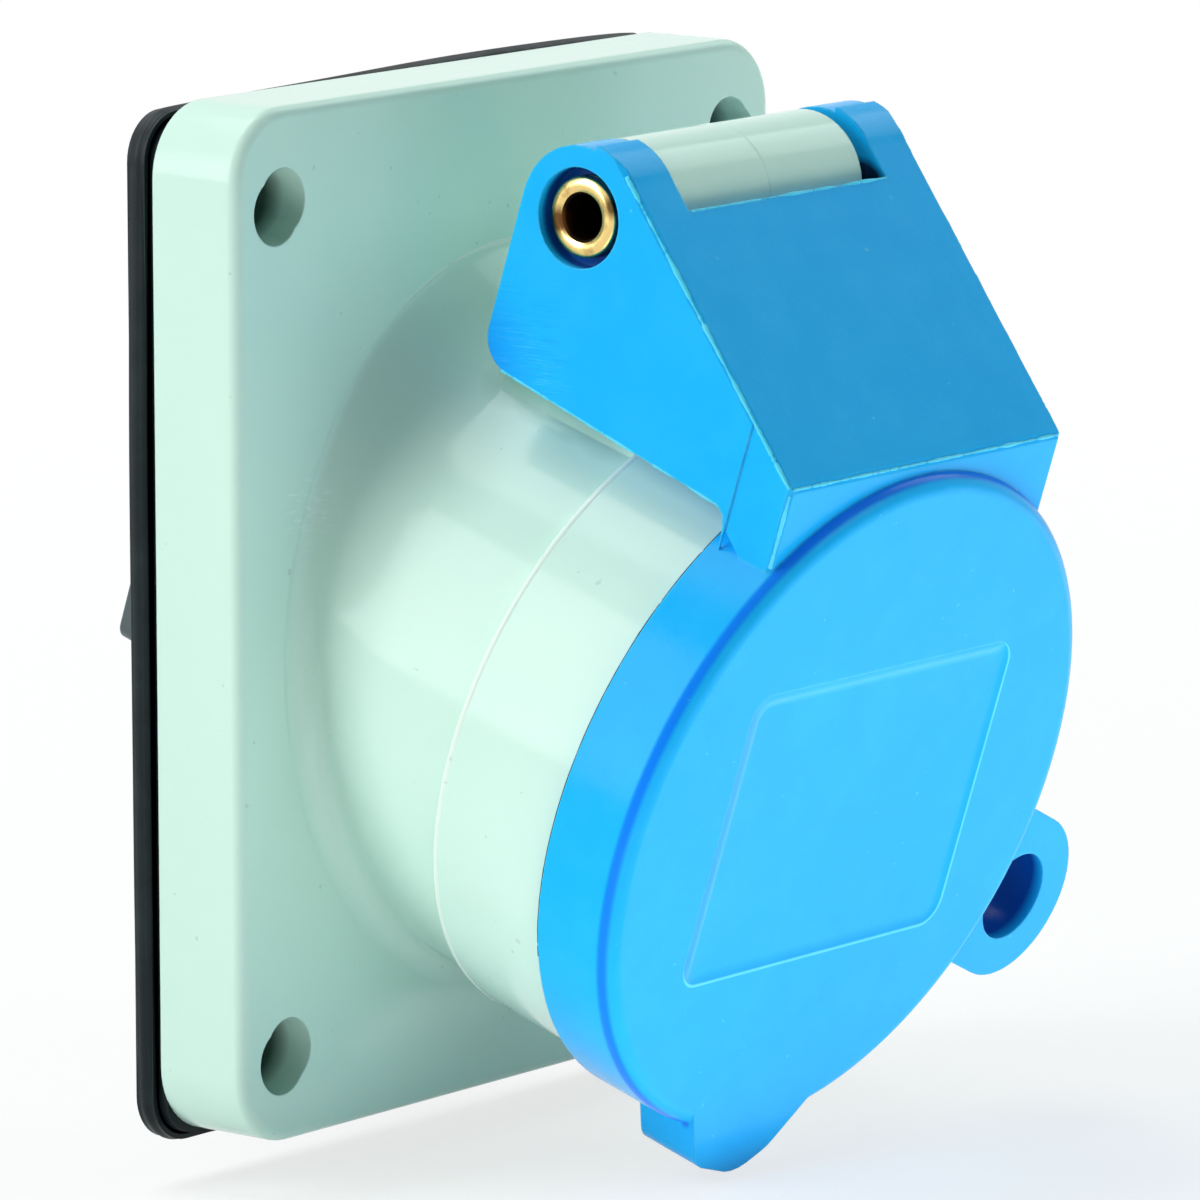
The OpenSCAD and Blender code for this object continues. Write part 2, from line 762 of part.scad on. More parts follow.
// A screw whose head's seat is at s1 and whose point is at s2, with a cross slot
module machine_screw(s1, s2) {
    slot_w = 0.9;
    slot_d = 1;
    difference() {
        union() {
            rod(s1 - head_h, s1, head_r);
            rod(s1 - eps, s2, screw_r);
        }
        for (a = [0, 90]) rotate([0, 0, a])
            translate([-slot_w / 2, -head_r * 0.7, s1 - head_h - 1])
                cube([slot_w, head_r * 1.4, slot_d + 1]);
    }
}

module carrier_screws() {
    color(steel) on_axis() carrier_screw_places() machine_screw(disc_back, floor_s + carrier_screw_in);
}

module block_screws() {
    color(steel) on_axis() block_screw_places() machine_screw(block_screw_seat, block_screw_end);
}

housing();
flange_gasket();
lid();
lid_seal();
hinge_pin();
lid_spring();
contact_carrier();
contact_plate();
terminal_block();
line_contact();
neutral_contact();
earth_contact();
line_clip();
neutral_clip();
earth_clip();
line_terminal_screw();
neutral_terminal_screw();
earth_terminal_screw();
carrier_screws();
block_screws();
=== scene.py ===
import math

import bmesh
import bpy
import numpy as np
from mathutils import Matrix, Vector


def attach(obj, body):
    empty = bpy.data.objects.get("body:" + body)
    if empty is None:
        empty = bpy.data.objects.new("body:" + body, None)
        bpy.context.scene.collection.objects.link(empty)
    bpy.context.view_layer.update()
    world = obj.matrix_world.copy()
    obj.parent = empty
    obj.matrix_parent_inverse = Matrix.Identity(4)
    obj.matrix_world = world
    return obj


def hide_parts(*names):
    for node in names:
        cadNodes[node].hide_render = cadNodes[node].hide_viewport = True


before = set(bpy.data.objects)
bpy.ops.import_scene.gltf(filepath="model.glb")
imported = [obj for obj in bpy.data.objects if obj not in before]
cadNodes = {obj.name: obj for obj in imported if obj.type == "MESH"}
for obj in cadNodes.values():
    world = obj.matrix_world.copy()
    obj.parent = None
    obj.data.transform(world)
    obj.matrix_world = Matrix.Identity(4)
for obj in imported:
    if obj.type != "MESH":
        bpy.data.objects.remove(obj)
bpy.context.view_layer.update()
mm = 0.001
print("socket: frame loaded,", len(cadNodes), "nodes")

# The barrel leans down from the flange; s runs out along it, t up across it, both in mm
barrel = {"tilt": 18.0, "back": -2.7, "axisZ": -0.7}
tiltCos = math.cos(math.radians(barrel["tilt"]))
tiltSin = math.sin(math.radians(barrel["tilt"]))


def fromBarrel(x, s, t):
    # barrel place to world place: a turn about X by the tilt, then a shift to the flange's back
    y = barrel["back"] - s * tiltCos - t * tiltSin
    z = barrel["axisZ"] - s * tiltSin + t * tiltCos
    return np.stack(np.broadcast_arrays(x, y, z), axis=-1)


def gridPiece(name, points, closeU=False, closeV=False, flip=False):
    # points is a grid (u, v, 3) in mm; each cell becomes one quad, the seams join where asked
    nu, nv = points.shape[:2]
    u = np.arange(nu if closeU else nu - 1)
    v = np.arange(nv if closeV else nv - 1)
    a, b = np.meshgrid(u, v, indexing="ij")
    a2, b2 = (a + 1) % nu, (b + 1) % nv
    quads = np.stack([a * nv + b, a2 * nv + b, a2 * nv + b2, a * nv + b2], axis=-1).reshape(-1, 4)
    if flip:
        quads = quads[:, ::-1]
    mesh = bpy.data.meshes.new(name)
    mesh.from_pydata((points.reshape(-1, 3) * mm).tolist(), [], quads.tolist())
    mesh.polygons.foreach_set("use_smooth", np.ones(len(quads), bool))
    mesh.update()
    piece = bpy.data.objects.new(name, mesh)
    bpy.context.scene.collection.objects.link(piece)
    return piece


# finishes; each pair is the stretch of a noise that goes from none to full, the last is the broken pale edge line,
# partly wear and partly a painted highlight

contrast = {"even": (0.3, 0.7), "mottle": (0.42, 0.75), "speck": (0.775, 0.80), "scuff": (0.56, 0.66),
            "tarnish": (0.5, 0.8), "bloom": (0.45, 0.8)}
rubbedGlint = {"samples": 4, "turn": (0.985, 0.86), "sound": (0.36, 0.58), "least": 0.25, "detail": 3.0, "rough": 0.7}


def startFinish(name):
    finish = bpy.data.materials.new(name)
    finish.use_nodes = True
    tree = finish.node_tree
    tree.nodes.clear()
    out = tree.nodes.new("ShaderNodeOutputMaterial")
    skin = tree.nodes.new("ShaderNodeBsdfPrincipled")
    tree.links.new(skin.outputs[0], out.inputs[0])
    place = tree.nodes.new("ShaderNodeTexCoord").outputs["Object"]
    return finish, tree, skin, place


def noiseOn(tree, place, scale, detail=3.0, rough=0.55, stretch=None, turn=None):
    if stretch or turn:
        lay = tree.nodes.new("ShaderNodeMapping")
        lay.inputs["Scale"].default_value = stretch or (1, 1, 1)
        lay.inputs["Rotation"].default_value = turn or (0, 0, 0)
        tree.links.new(place, lay.inputs["Vector"])
        place = lay.outputs[0]
    noise = tree.nodes.new("ShaderNodeTexNoise")
    noise.inputs["Scale"].default_value = scale
    noise.inputs["Detail"].default_value = detail
    noise.inputs["Roughness"].default_value = rough
    tree.links.new(place, noise.inputs["Vector"])
    return noise.outputs[0]


def spread(tree, value, low, high, toLow, toHigh):
    rangeNode = tree.nodes.new("ShaderNodeMapRange")
    rangeNode.inputs["From Min"].default_value = low
    rangeNode.inputs["From Max"].default_value = high
    rangeNode.inputs["To Min"].default_value = toLow
    rangeNode.inputs["To Max"].default_value = toHigh
    tree.links.new(value, rangeNode.inputs["Value"])
    return rangeNode.outputs[0]


def sums(tree, kind, first, second):
    node = tree.nodes.new("ShaderNodeMath")
    node.operation = kind
    for socket, value in zip(node.inputs, (first, second)):
        if isinstance(value, (int, float)):
            socket.default_value = value
        else:
            tree.links.new(value, socket)
    return node.outputs[0]


def blendColours(tree, share, first, second):
    mix = tree.nodes.new("ShaderNodeMix")
    mix.data_type = "RGBA"
    tree.links.new(share, mix.inputs[0])
    for socket, value in ((mix.inputs[6], first), (mix.inputs[7], second)):
        if isinstance(value, tuple):
            socket.default_value = (*value, 1.0)
        else:
            tree.links.new(value, socket)
    return mix.outputs[2]


def reliefOn(tree, skin, heights, start=None):
    # heights are (value, depth in mm), stacked one bump upon another
    last = start
    for value, depth in heights:
        bump = tree.nodes.new("ShaderNodeBump")
        bump.inputs["Distance"].default_value = depth * mm
        tree.links.new(value, bump.inputs["Height"])
        if last:
            tree.links.new(last, bump.inputs["Normal"])
        last = bump.outputs[0]
    tree.links.new(last, skin.inputs["Normal"])


def roundedEdge(tree, place, look):
    # edges shade as if rounded; where the rounded direction leaves the face's own there is an edge, and a noise breaks
    # that edge line into rubbed and sound stretches; the pale edge colour is partly wear and partly a painted
    # highlight
    soft = tree.nodes.new("ShaderNodeBevel")
    soft.samples = rubbedGlint["samples"]
    soft.inputs["Radius"].default_value = look["edgeR"] * mm
    turnBy = tree.nodes.new("ShaderNodeVectorMath")
    turnBy.operation = "DOT_PRODUCT"
    tree.links.new(soft.outputs[0], turnBy.inputs[0])
    tree.links.new(tree.nodes.new("ShaderNodeNewGeometry").outputs["Normal"], turnBy.inputs[1])
    near = spread(tree, turnBy.outputs["Value"], *rubbedGlint["turn"], 0.0, look["rubbedGlintStrength"])
    lines = noiseOn(tree, place, look["edgeScale"], rubbedGlint["detail"], rubbedGlint["rough"])
    broken = spread(tree, lines, *rubbedGlint["sound"], rubbedGlint["least"], 1.0)
    return soft.outputs[0], sums(tree, "MULTIPLY", near, broken)


def ballOn(tree, place, spot):
    # one at the spot's middle, falling to none at its reach
    there = tree.nodes.new("ShaderNodeMapping")
    there.vector_type = "TEXTURE"
    there.inputs["Location"].default_value = tuple(c * mm for c in spot["at"])
    there.inputs["Scale"].default_value = (spot["reach"] * mm,) * 3
    ball = tree.nodes.new("ShaderNodeTexGradient")
    ball.gradient_type = "SPHERICAL"
    tree.links.new(place, there.inputs["Vector"])
    tree.links.new(there.outputs[0], ball.inputs["Vector"])
    return ball.outputs["Fac"]


def ringOn(tree, place, ring):
    # one on a circle round the barrel's axis, falling to none at its reach from that circle
    there = tree.nodes.new("ShaderNodeMapping")
    there.vector_type = "TEXTURE"
    there.inputs["Location"].default_value = tuple(fromBarrel(0.0, ring["s"], 0.0) * mm)
    there.inputs["Rotation"].default_value = (math.radians(barrel["tilt"]), 0.0, 0.0)
    there.inputs["Scale"].default_value = (mm, mm, mm)
    parts = tree.nodes.new("ShaderNodeSeparateXYZ")
    tree.links.new(place, there.inputs["Vector"])
    tree.links.new(there.outputs[0], parts.inputs[0])
    squares = [sums(tree, "MULTIPLY", parts.outputs[k], parts.outputs[k]) for k in (0, 1, 2)]
    radius = sums(tree, "POWER", sums(tree, "ADD", squares[0], squares[2]), 0.5)
    off = sums(tree, "SUBTRACT", radius, ring["radius"])
    away = sums(tree, "POWER", sums(tree, "ADD", sums(tree, "MULTIPLY", off, off), squares[1]), 0.5)
    return spread(tree, away, 0.0, ring["reach"], 1.0, 0.0)


def paintOverSpots(tree, place, colour, paintedMarks, shapeOn):
    # each painted spot's colour laid over what is there, as strong as its shape says: painted shade, and on the pin
    # painted dark reflections
    for spot in paintedMarks:
        share = spread(tree, shapeOn(tree, place, spot), 0.0, spot["fade"], 0.0, spot["strength"])
        colour = blendColours(tree, share, colour, spot["colour"])
    return colour


def mouldedFinish(name, look):
    # moulded plastic: a slow tone drift, flow mottling, fine spark grain, a few specks of dust, paler edges that are
    # partly wear and partly a painted highlight, and painted shade where given
    finish, tree, skin, place = startFinish(name)
    drift = spread(tree, noiseOn(tree, place, look["driftScale"], detail=2.0), *contrast["even"], 0.0, 1.0)
    colour = blendColours(tree, drift, look["colour"], look["colourTwo"])
    flow = noiseOn(tree, place, look["mottleScale"], detail=4.0, rough=0.6)
    mottle = spread(tree, flow, *contrast["mottle"], 0.0, look["mottle"])
    colour = blendColours(tree, mottle, colour, look["mottleColour"])
    dust = noiseOn(tree, place, look["speckScale"], detail=1.0)
    speck = spread(tree, dust, *contrast["speck"], 0.0, look["speck"])
    colour = blendColours(tree, speck, colour, look["speckColour"])
    for scuff in look.get("scuffs", []):
        # fine parallel scratches inside a soft ball round the scuffed spot
        inside = spread(tree, ballOn(tree, place, scuff), 0.0, 0.5, 0.0, 1.0)
        lines = noiseOn(tree, place, 1.0, detail=2.0, rough=0.6, stretch=scuff["stretch"], turn=scuff["turn"])
        lines = spread(tree, lines, *contrast["scuff"], 0.0, scuff["strength"])
        colour = blendColours(tree, sums(tree, "MULTIPLY", lines, inside), colour, scuff["colour"])
    # paler edges: partly wear, partly a painted highlight
    edgeWay, rubbedGlintShare = roundedEdge(tree, place, look)
    colour = blendColours(tree, rubbedGlintShare, colour, look["rubbedGlintColour"])
    # painted shade spots in holes, hollows and under parts
    colour = paintOverSpots(tree, place, colour, look.get("paintedDarks", []), ballOn)
    # painted shade line round the lid's shoulder
    colour = paintOverSpots(tree, place, colour, look.get("rings", []), ringOn)
    tree.links.new(colour, skin.inputs["Base Color"])
    gloss = noiseOn(tree, place, look["glossScale"], detail=4.0, rough=0.65)
    tree.links.new(spread(tree, gloss, *contrast["even"], *look["roughness"]), skin.inputs["Roughness"])
    skin.inputs["IOR"].default_value = 1.5
    skin.inputs["Specular IOR Level"].default_value = look["shine"]
    reliefOn(tree, skin, [
        (noiseOn(tree, place, look["peelScale"], detail=2.0), look["peelDepth"]),
        (noiseOn(tree, place, look["grainScale"], detail=2.0, rough=0.6), look["grainDepth"]),
    ], edgeWay)
    return finish


def metalFinish(name, look):
    # metal: tarnish in patches, painted dark reflection spots, fine lines drawn along one direction, roughness between
    # two limits
    finish, tree, skin, place = startFinish(name)
    patches = noiseOn(tree, place, look["tarnishScale"], detail=4.0, rough=0.65)
    tarnish = spread(tree, patches, *contrast["tarnish"], 0.0, look["tarnish"])
    colour = blendColours(tree, tarnish, look["colour"], look["tarnishColour"])
    # painted dark reflections
    colour = paintOverSpots(tree, place, colour, look.get("paintedDarks", []), ballOn)
    tree.links.new(colour, skin.inputs["Base Color"])
    lines = noiseOn(tree, place, 1.0, detail=3.0, rough=0.6, stretch=look["lineStretch"])
    tree.links.new(spread(tree, lines, *contrast["even"], *look["roughness"]), skin.inputs["Roughness"])
    skin.inputs["Metallic"].default_value = 1.0
    reliefOn(tree, skin, [(lines, look["lineDepth"])])
    return finish


def rubberFinish(name, look):
    # rubber: dusty bloom in patches over black, soft grain
    finish, tree, skin, place = startFinish(name)
    patches = noiseOn(tree, place, look["bloomScale"], detail=5.0, rough=0.65)
    bloom = spread(tree, patches, *contrast["bloom"], 0.0, look["bloom"])
    tree.links.new(blendColours(tree, bloom, look["colour"], look["bloomColour"]), skin.inputs["Base Color"])
    gloss = noiseOn(tree, place, look["glossScale"], detail=3.0)
    tree.links.new(spread(tree, gloss, *contrast["even"], *look["roughness"]), skin.inputs["Roughness"])
    skin.inputs["Specular IOR Level"].default_value = look["shine"]
    reliefOn(tree, skin, [(noiseOn(tree, place, look["grainScale"], detail=3.0, rough=0.6), look["grainDepth"])])
    return finish


# painted shade: darkening laid into the four screw holes, on the strip under the cheek by the knuckle's foot, in the
# lid's ear, at the knuckle's open end, at the left cheek's lower corner and in the counterbores; a painted shade line
# runs round the lid's shoulder, and two painted dark reflections lie on the pin's end
paintedDark = {
    "hole": {"reach": 5.4, "fade": 0.3, "strength": 0.93, "colour": (0.035, 0.09, 0.07)},
    "foot": {"reach": 4.2, "fade": 0.6, "strength": 0.8, "colour": (0.24, 0.46, 0.38)},
    "ear": {"reach": 5.0, "fade": 0.12, "strength": 0.94, "colour": (0.002, 0.035, 0.30)},
    "knuckle": {"reach": 3.6, "fade": 0.2, "strength": 0.96, "colour": (0.002, 0.012, 0.05)},
    "cheek": {"reach": 7.0, "fade": 1.0, "strength": 0.85, "colour": (0.006, 0.27, 0.93)},
    "counterbore": {"reach": 4.25, "fade": 0.03, "strength": 0.9, "colour": (0.003, 0.05, 0.36)},
    "shoulder": {"reach": 0.6, "fade": 0.6, "strength": 0.75, "colour": (0.003, 0.15, 0.93)},
    "pinLow": {"reach": 1.5, "fade": 0.6, "strength": 0.92, "colour": (0.09, 0.03, 0.008)},
    "pinHigh": {"reach": 1.3, "fade": 0.6, "strength": 0.9, "colour": (0.07, 0.03, 0.01)},
}


def paintedSpot(kind, at):
    return dict(paintedDark[kind], at=tuple(at))


# painted shade inside the screw holes and under the cheek at the knuckle's foot
holeShade = [paintedSpot("hole", (x, -4.6, z)) for x in (-29.2, 29.2) for z in (-34.9, 34.9)]
footShade = [paintedSpot("foot", fromBarrel(-12.6, s, 26.6)) for s in (12.0, 15.5, 19.0, 22.5)]
# painted shade in the lid's ear, at the knuckle's open end, at the left cheek's lower corner and in the counterbores
lidShade = [paintedSpot("ear", fromBarrel(30.54, 41.6, -14.24)), paintedSpot("knuckle", fromBarrel(13.1, 22.6, 42.6)),
            paintedSpot("cheek", (-18.3, -22.5, 22.0))]
lidShade += [paintedSpot("counterbore", fromBarrel(x, 18.2, 42.6)) for x in (-16.8, 16.8)]
# painted shade line round the lid's shoulder
lidShadeRings = [dict(paintedDark["shoulder"], s=45.2, radius=29.1)]
# two painted dark reflections on the pin's rounded end
pinReflections = [paintedSpot("pinLow", fromBarrel(-18.0, 16.1, 41.4)), paintedSpot("pinHigh", fromBarrel(-18.0, 20.9, 44.7))]
housingLook = {
    "colour": (0.64, 0.87, 0.765), "colourTwo": (0.625, 0.855, 0.75), "driftScale": 16.0,
    "mottle": 0.05, "mottleScale": 90.0, "mottleColour": (0.68, 0.90, 0.80),
    "speck": 0.28, "speckScale": 980.0, "speckColour": (0.30, 0.40, 0.36),
    "edgeR": 0.22, "rubbedGlintStrength": 0.5, "edgeScale": 320.0, "rubbedGlintColour": (0.74, 0.93, 0.84),
    "roughness": (0.09, 0.16), "glossScale": 260.0, "shine": 0.16,
    "peelScale": 170.0, "peelDepth": 0.010, "grainScale": 2600.0, "grainDepth": 0.003,
    "scuffs": [
        {"at": (-27.0, -11.5, 9.5), "reach": 3.4, "stretch": (900, 900, 4200), "turn": (0.3, 0.5, 0.2),
         "strength": 0.75, "colour": (0.80, 0.95, 0.90)},
    ],
    "paintedDarks": holeShade + footShade,
}
lidLook = {
    "colour": (0.009, 0.46, 0.96), "colourTwo": (0.007, 0.435, 0.94), "driftScale": 26.0,
    "mottle": 0.24, "mottleScale": 210.0, "mottleColour": (0.034, 0.54, 0.96),
    "speck": 0.45, "speckScale": 1150.0, "speckColour": (0.12, 0.66, 0.98),
    "edgeR": 0.26, "rubbedGlintStrength": 0.75, "edgeScale": 520.0, "rubbedGlintColour": (0.10, 0.70, 0.98),
    "roughness": (0.15, 0.26), "glossScale": 420.0, "shine": 0.08,
    "peelScale": 260.0, "peelDepth": 0.010, "grainScale": 1700.0, "grainDepth": 0.014,
    "scuffs": [
        {"at": (-18.3, -25.5, 23.5), "reach": 9.0, "stretch": (200, 300, 5200), "turn": (0.75, 0.0, 0.0),
         "strength": 0.35, "colour": (0.006, 0.28, 0.80)},
        {"at": (-18.3, -27.0, 21.0), "reach": 6.0, "stretch": (200, 380, 7000), "turn": (0.55, 0.0, 0.0),
         "strength": 0.3, "colour": (0.10, 0.62, 0.97)},
    ],
    "paintedDarks": lidShade, "rings": lidShadeRings,
}
darkLook = {
    "colour": (0.075, 0.105, 0.112), "colourTwo": (0.062, 0.088, 0.095), "driftScale": 40.0,
    "mottle": 0.2, "mottleScale": 240.0, "mottleColour": (0.10, 0.13, 0.135),
    "speck": 0.4, "speckScale": 640.0, "speckColour": (0.26, 0.29, 0.29),
    "edgeR": 0.2, "rubbedGlintStrength": 0.5, "edgeScale": 420.0, "rubbedGlintColour": (0.16, 0.20, 0.21),
    "roughness": (0.36, 0.5), "glossScale": 300.0, "shine": 0.35,
    "peelScale": 240.0, "peelDepth": 0.012, "grainScale": 2600.0, "grainDepth": 0.006,
}
gasketLook = {
    "colour": (0.0055, 0.0115, 0.0135), "bloom": 0.35, "bloomScale": 210.0, "bloomColour": (0.026, 0.044, 0.050),
    "roughness": (0.38, 0.55), "glossScale": 320.0, "shine": 0.17, "grainScale": 1700.0, "grainDepth": 0.010,
}
pinLook = {
    "colour": (0.86, 0.63, 0.24), "tarnish": 0.95, "tarnishScale": 430.0, "tarnishColour": (0.22, 0.085, 0.025),
    "roughness": (0.14, 0.30), "lineStretch": (6000, 700, 700), "lineDepth": 0.006, "paintedDarks": pinReflections,
}
boreLook = dict(pinLook, colour=(0.012, 0.007, 0.004), tarnish=0.6, tarnishColour=(0.03, 0.014, 0.006),
                roughness=(0.5, 0.7))
contactLook = dict(pinLook, colour=(0.83, 0.62, 0.27), tarnish=0.5, lineStretch=(900, 5200, 900),
                   roughness=(0.18, 0.34))
steelLook = {
    "colour": (0.60, 0.61, 0.61), "tarnish": 0.45, "tarnishScale": 500.0, "tarnishColour": (0.36, 0.35, 0.31),
    "roughness": (0.22, 0.40), "lineStretch": (1200, 4200, 1200), "lineDepth": 0.004,
}
greyPlastic = mouldedFinish("greyPlastic", housingLook)
bluePlastic = mouldedFinish("bluePlastic", lidLook)
darkPlastic = mouldedFinish("darkPlastic", darkLook)
blackRubber = rubberFinish("blackRubber", gasketLook)
pinBrass = metalFinish("pinBrass", pinLook)
boreBrass = metalFinish("boreBrass", boreLook)
contactBrass = metalFinish("contactBrass", contactLook)
platedSteel = metalFinish("platedSteel", steelLook)
print("socket: finishes made")


# the two mouldings as merged copies, smooth over their curves and crisp at their corners; all in metres

weld = {"copy": 2e-6, "poles": 1e-7, "planeWay": 2000, "planeDepth": 5e-6}


def planeNormals(mesh, sharp):
    # a corner points along the sum of the faces round it that turn less than the sharp angle, each weighted by
    # the whole area of the plane it lies in, so flat faces stay flat up to the curve that leaves them
    count = len(mesh.polygons)
    verts = np.empty(len(mesh.loops), np.int64)
    mesh.loops.foreach_get("vertex_index", verts)
    normals, centers, areas = np.empty(count * 3), np.empty(count * 3), np.empty(count)
    mesh.polygons.foreach_get("normal", normals)
    mesh.polygons.foreach_get("center", centers)
    mesh.polygons.foreach_get("area", areas)
    normals = normals.reshape(-1, 3)
    depth = (normals * centers.reshape(-1, 3)).sum(axis=1)
    key = np.round(np.column_stack([normals * weld["planeWay"], depth / weld["planeDepth"]]))
    plane = np.unique(key, axis=0, return_inverse=True)[1].ravel()
    weight = np.bincount(plane, areas)[plane]
    face = np.repeat(np.arange(count), 3)
    order = np.argsort(verts, kind="stable")
    around = np.bincount(verts)
    first = np.cumsum(around) - around
    reps = around[verts]
    here = np.repeat(np.arange(len(verts)), reps)
    step = np.arange(reps.sum()) - np.repeat(np.cumsum(reps) - reps, reps)
    there = face[order[np.repeat(first[verts], reps) + step]]
    close = (normals[face[here]] * normals[there]).sum(axis=1) > math.cos(math.radians(sharp))
    total = np.zeros((len(verts), 3))
    np.add.at(total, here, normals[there] * (weight[there] * close)[:, None])
    length = np.linalg.norm(total, axis=1)
    total[length == 0] = (0, 0, 1)
    length[length == 0] = 1
    return total / length[:, None]


def mergedCopy(node, name, finish, part):
    shape = bmesh.new()
    shape.from_mesh(cadNodes[node].data)
    bmesh.ops.remove_doubles(shape, verts=shape.verts, dist=weld["copy"])
    bmesh.ops.triangulate(shape, faces=shape.faces)
    mesh = bpy.data.meshes.new(name)
    shape.to_mesh(mesh)
    shape.free()
    mesh.polygons.foreach_set("use_smooth", np.ones(len(mesh.polygons), bool))
    mesh.normals_split_custom_set(planeNormals(mesh, part["sharp"]).tolist())
    mesh.materials.append(finish)
    piece = bpy.data.objects.new(name, mesh)
    bpy.context.scene.collection.objects.link(piece)
    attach(piece, part["body"])
    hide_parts(node)
    return piece


lidPart = {"sharp": 26.0, "body": "lid_body", "slot": "blue_plastic"}
housingPart = {"sharp": 26.0, "body": "base", "slot": "grey_plastic"}
lidShell = mergedCopy("lid", "lidShell", bluePlastic, lidPart)
housingShell = mergedCopy("housing", "housingShell", greyPlastic, housingPart)
print("socket: mouldings made")


# the other nodes keep their CAD shape and take a finish


plainNodes = {
    "flange_gasket": blackRubber, "lid_seal": blackRubber,
    "contact_carrier": darkPlastic, "contact_plate": darkPlastic, "terminal_block": darkPlastic,
    "line_contact": contactBrass, "neutral_contact": contactBrass, "earth_contact": contactBrass,
    "line_clip": platedSteel, "neutral_clip": platedSteel, "earth_clip": platedSteel,
    "line_terminal_screw": platedSteel, "neutral_terminal_screw": platedSteel,
    "earth_terminal_screw": platedSteel, "carrier_screws": platedSteel, "block_screws": platedSteel,
}
for node, finish in plainNodes.items():
    cadNodes[node].data.materials.clear()
    cadNodes[node].data.materials.append(finish)


# root between neck and flange, rounded all round and flared over the barrel

root = {"neckR": 26.9, "rootR": 2.4, "flare": 3.4, "flarePower": 0.8, "height": 10.0, "flangeD": 8.8, "skin": 0.02,
        "skinFall": 3, "around": 240, "rows": 32, "rowPower": 2.2}


def flareAt(turn):
    # widest over the barrel, gone at its sides
    return root["flare"] * np.clip(np.sin(turn), 0.0, 1.0) ** root["flarePower"]


def wider(first, second, power=4):
    # the wider of two offsets, blended where they are alike
    return (first ** power + second ** power) ** (1 / power)


def rootPoints():
    # at height h over the flange the neck's radius grows by a quarter circle's offset, or by the flare where that
    # is wider, and the ring of that radius is cut from the tilted barrel by the plane at that height
    h = root["height"] * np.linspace(0.0, 1.0, root["rows"])[:, None] ** root["rowPower"]
    turn = np.linspace(0, 2 * np.pi, root["around"], endpoint=False)[None, :]
    left = np.clip(root["rootR"] - h, 0.0, None)
    arch = root["rootR"] - np.sqrt(root["rootR"] ** 2 - left ** 2)
    spreads = flareAt(turn) * (1 - h / root["height"]) ** 2
    r = root["neckR"] + wider(arch, spreads) + root["skin"] * (1 - root["skinFall"] * h / root["height"])
    x, t = r * np.cos(turn), r * np.sin(turn)
    s = (root["flangeD"] + h + root["skin"] - t * tiltSin) / tiltCos
    return fromBarrel(x, s, t)


rootFillet = gridPiece("rootFillet", rootPoints(), closeV=True, flip=True)
rootFillet.data.materials.append(greyPlastic)
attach(rootFillet, "base")


# hinge pin: a brass tube with rounded ends and a few turned grooves near each end

pin = {"s": 18.2, "t": 42.6, "half": 17.95, "outerR": 3.3, "boreR": 1.85, "endDepth": 0.42, "grooves": 2,
       "grooveDepth": 0.06, "groovePitch": 0.5, "around": 96, "rows": 161, "endRows": 15, "boreRows": 3}


def pinPoints():
    # the profile runs along the outside, round the end as a half ellipse, back along the bore and round again;
    # the outside dips by a cosine wave over the grooves; the profile is then turned round the pin's axis
    wall = (pin["outerR"] - pin["boreR"]) / 2
    middle = (pin["outerR"] + pin["boreR"]) / 2
    straight = pin["half"] - pin["endDepth"]
    along = np.linspace(-straight, straight, pin["rows"])
    near = straight - np.abs(along)
    wave = 0.5 - 0.5 * np.cos(2 * np.pi * near / pin["groovePitch"])
    outside = pin["outerR"] - pin["grooveDepth"] * wave * (near < pin["grooves"] * pin["groovePitch"])
    arc = np.linspace(0, np.pi, pin["endRows"] + 2)[1:-1]
    x = np.concatenate([along, straight + pin["endDepth"] * np.sin(arc), along[::-1],
                        -straight - pin["endDepth"] * np.sin(arc)])
    r = np.concatenate([outside, middle + wall * np.cos(arc), np.full(along.size, pin["boreR"]),
                        middle - wall * np.cos(arc)])
    turn = np.linspace(0, 2 * np.pi, pin["around"], endpoint=False)
    x, r = x[:, None], r[:, None]
    return fromBarrel(x + 0 * turn, pin["s"] + r * np.cos(turn), pin["t"] + r * np.sin(turn))


pinTube = gridPiece("pinTube", pinPoints(), closeU=True, closeV=True)
pinTube.data.materials.append(pinBrass)
pinTube.data.materials.append(boreBrass)
# the bore and the last rows of the rounded ends that lead into it are dark
boreFaces = np.zeros((2 * (pin["rows"] + pin["endRows"]), pin["around"]), np.int32)
boreFrom = pin["rows"] + pin["endRows"]
boreFaces[boreFrom - pin["boreRows"]:boreFrom + pin["rows"] + pin["boreRows"]] = 1
pinTube.data.polygons.foreach_set("material_index", boreFaces.ravel())
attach(pinTube, "lid_body")
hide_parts("hinge_pin")


# lid spring: a round wire along a leg and a helix; its hook sits in the cheek and turns with the lid

coil = {"wire": 0.9, "turns": 5, "pitch": 1.1, "x2": 12.35, "radius": 4.1, "leg": 6.5, "legGap": 0.4, "hookDrop": 4.0,
        "hook": 2.75, "hookFrom": 4.64, "hookGap": 0.1, "perTurn": 40, "legSteps": 12, "bendSteps": 9, "hookSteps": 6,
        "sides": 14}
tubeLean = np.array([1.0, 0.6, 0.0])
hookTurn = math.atan2(-coil["hookDrop"], -coil["radius"])


